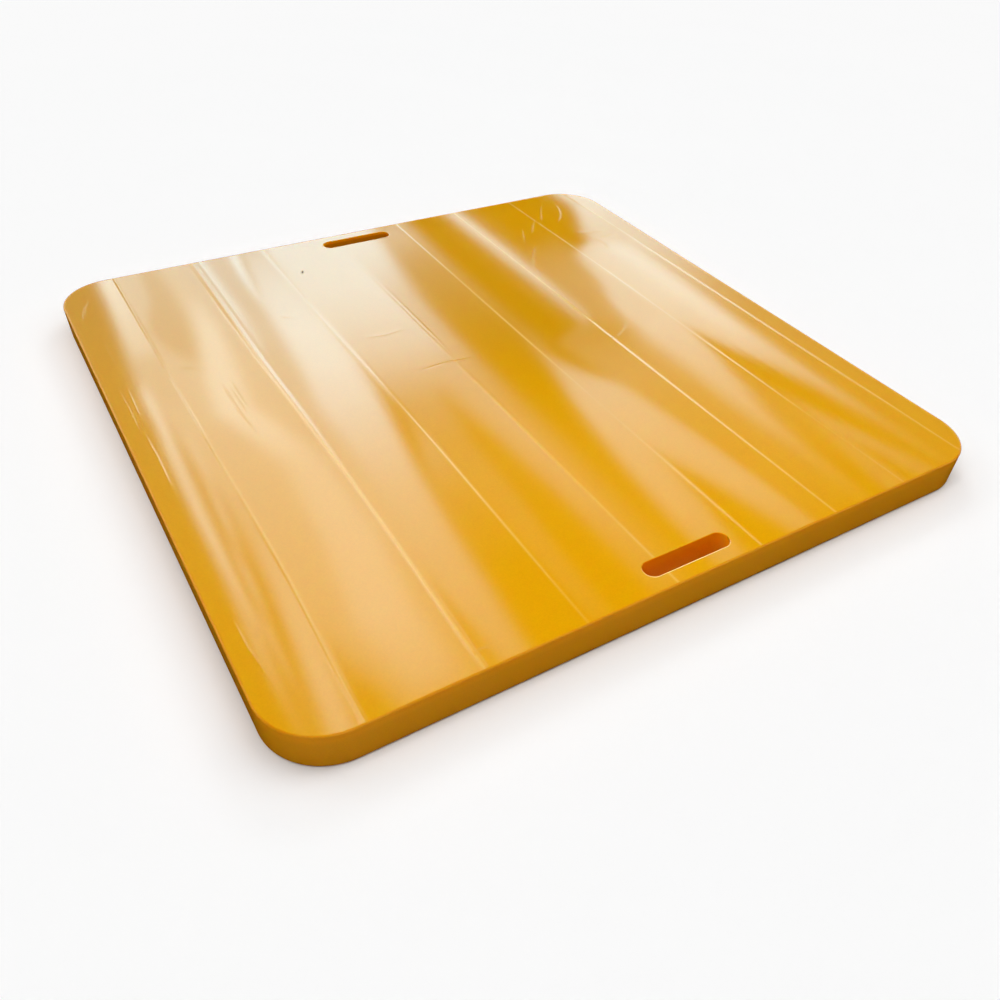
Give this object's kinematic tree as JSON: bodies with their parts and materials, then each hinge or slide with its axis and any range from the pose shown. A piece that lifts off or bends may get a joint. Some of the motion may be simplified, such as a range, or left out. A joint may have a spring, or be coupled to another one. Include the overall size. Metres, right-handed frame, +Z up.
{
  "type": "outrigger pad",
  "caption": "Square slab of solid yellow plastic that spreads an outrigger's load on the ground, with rounded corners and an obround hand slot through two opposite sides.",
  "frame": {"origin": "middle of the underside, so the pad lies on the XY plane", "axes": "+Z up, through the thickness; X along the two sides that have the hand slots, Y from one hand slot to the other, and along the planing lines"},
  "size_m": [1, 1, 0.05],
  "materials": {
    "pad_plastic": "solid amber yellow polyethylene, planed on both faces to a satin gloss, with fine lines between the planing passes and a duller sawn and routed edge"
  },
  "bodies": {
    "root": {"outrigger_pad": "pad_plastic"}
  },
  "joints": []
}
